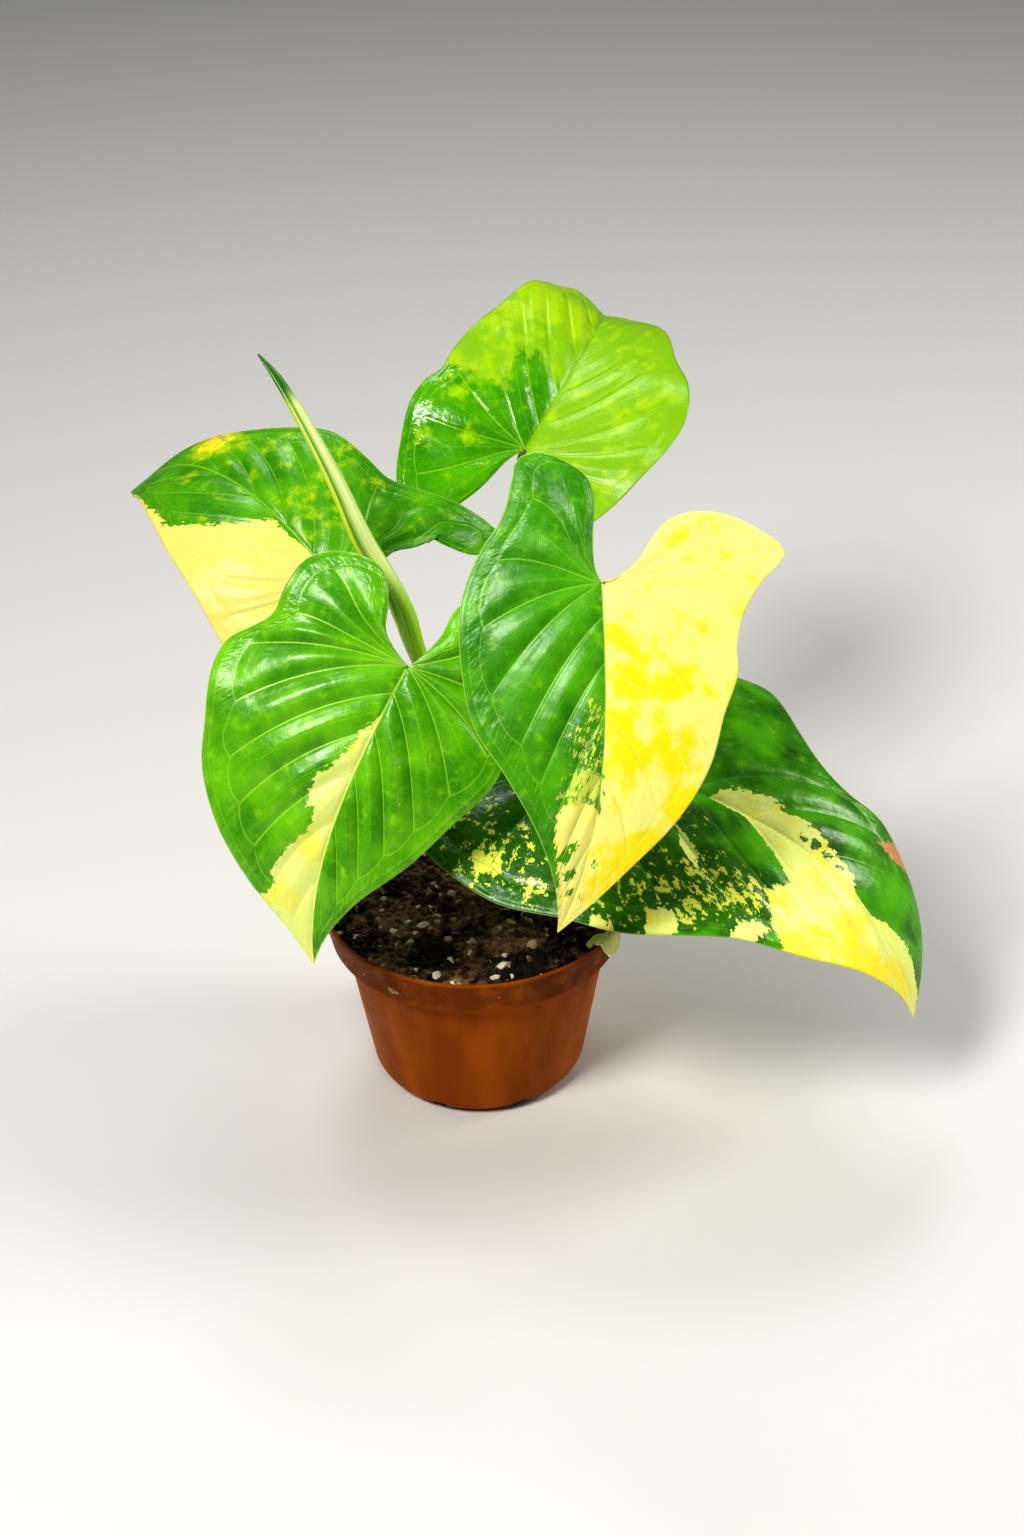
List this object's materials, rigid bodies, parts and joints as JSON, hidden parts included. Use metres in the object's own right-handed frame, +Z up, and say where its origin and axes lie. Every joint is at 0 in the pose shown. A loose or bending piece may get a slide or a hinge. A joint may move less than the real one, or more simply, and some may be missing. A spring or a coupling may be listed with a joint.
{
  "type": "potted arrowhead plant",
  "caption": "Young variegated arrowhead plant with cream and green heart-shaped leaves on thin stalks, growing in a small round plastic nursery pot filled with potting mix.",
  "frame": {"origin": "centre of the pot's underside, on the pot's axis, where it rests", "axes": "+Z up along the pot's axis, -Y towards the side the plant is seen from, +X to that viewer's right"},
  "size_m": [0.2515, 0.2388, 0.2597],
  "materials": {
    "pot_plastic": "satin",
    "potting_mix": "matt",
    "stem_skin": "satin",
    "stalk_skin": "satin",
    "blade_green": "satin",
    "blade_yellow_green": "satin",
    "blade_dark_green": "satin",
    "blade_lime": "satin",
    "new_leaf_skin": "satin",
    "cream_scale": "matt"
  },
  "bodies": {
    "root": {"pot": "pot_plastic", "soil": "potting_mix", "stem": "stem_skin", "blade_front_right": "blade_yellow_green", "blade_front_left": "blade_green", "blade_right_low": "blade_dark_green", "blade_back_left": "blade_green", "blade_back_top": "blade_lime", "petiole_front_right": "stalk_skin", "petiole_front_left": "stalk_skin", "petiole_right_low": "stalk_skin", "petiole_back_left": "stalk_skin", "petiole_back_top": "stalk_skin", "new_leaf": "new_leaf_skin", "rim_scale": "cream_scale"}
  },
  "joints": []
}
